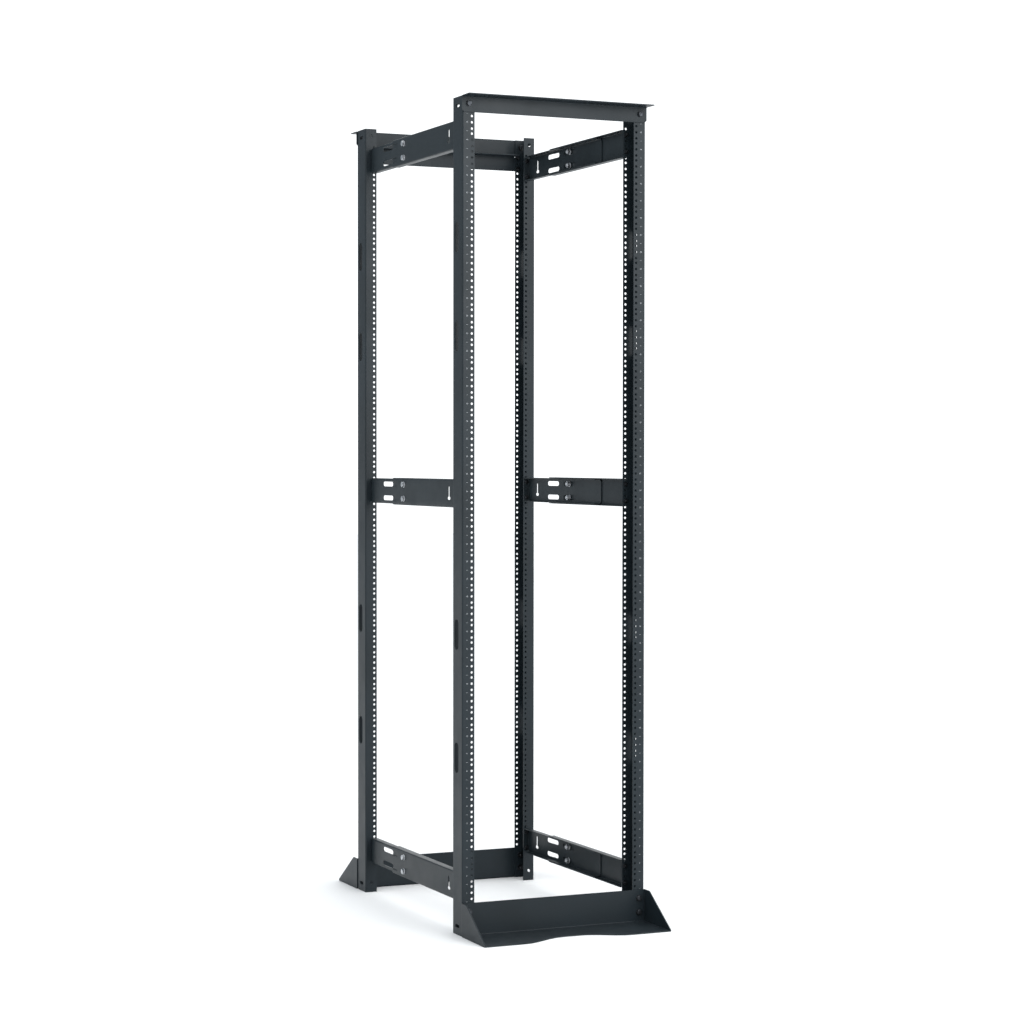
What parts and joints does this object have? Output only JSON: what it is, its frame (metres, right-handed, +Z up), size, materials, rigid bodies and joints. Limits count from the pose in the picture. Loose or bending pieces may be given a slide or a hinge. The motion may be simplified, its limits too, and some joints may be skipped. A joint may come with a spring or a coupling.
{
  "type": "open-frame equipment rack",
  "caption": "Open four-post 19-inch equipment rack: folded channel posts with rail holes, gusseted feet, top angles and two-piece side braces that slide to set the depth.",
  "frame": {"origin": "on the floor, at the middle of the rack's width and depth", "axes": "+Z up; +X to the rack's right and -Y out of its front, so +Y runs from the front posts to the rear posts"},
  "size_m": [0.522, 1.0626, 2.134],
  "materials": {
    "frame": "charcoal-black powder coat, satin",
    "brace": "charcoal-black powder coat, satin",
    "bolt": "dark zinc plate"
  },
  "bodies": {
    "front_frame": {"front_top_angle": "frame", "front_foot": "frame", "front_left_post": "frame", "front_right_post": "frame", "top_left_brace_front": "brace", "top_left_clamp_bolt_upper": "bolt", "top_left_clamp_bolt_lower": "bolt", "top_right_brace_front": "brace", "top_right_clamp_bolt_upper": "bolt", "top_right_clamp_bolt_lower": "bolt", "middle_left_brace_front": "brace", "middle_left_clamp_bolt_upper": "bolt", "middle_left_clamp_bolt_lower": "bolt", "middle_right_brace_front": "brace", "middle_right_clamp_bolt_upper": "bolt", "middle_right_clamp_bolt_lower": "bolt", "bottom_left_brace_front": "brace", "bottom_left_clamp_bolt_upper": "bolt", "bottom_left_clamp_bolt_lower": "bolt", "bottom_right_brace_front": "brace", "bottom_right_clamp_bolt_upper": "bolt", "bottom_right_clamp_bolt_lower": "bolt"},
    "rear_frame": {"rear_top_angle": "frame", "rear_foot": "frame", "rear_left_post": "frame", "rear_right_post": "frame", "rear_cross_bar": "frame", "top_left_brace_rear": "brace", "top_right_brace_rear": "brace", "middle_left_brace_rear": "brace", "middle_right_brace_rear": "brace", "bottom_left_brace_rear": "brace", "bottom_right_brace_rear": "brace"}
  },
  "joints": [
    {"name": "depth_slide", "type": "slide", "parent": "front_frame", "child": "rear_frame", "axis": [0, 1, 0], "range_m": [-0.032, 0.032]}
  ]
}
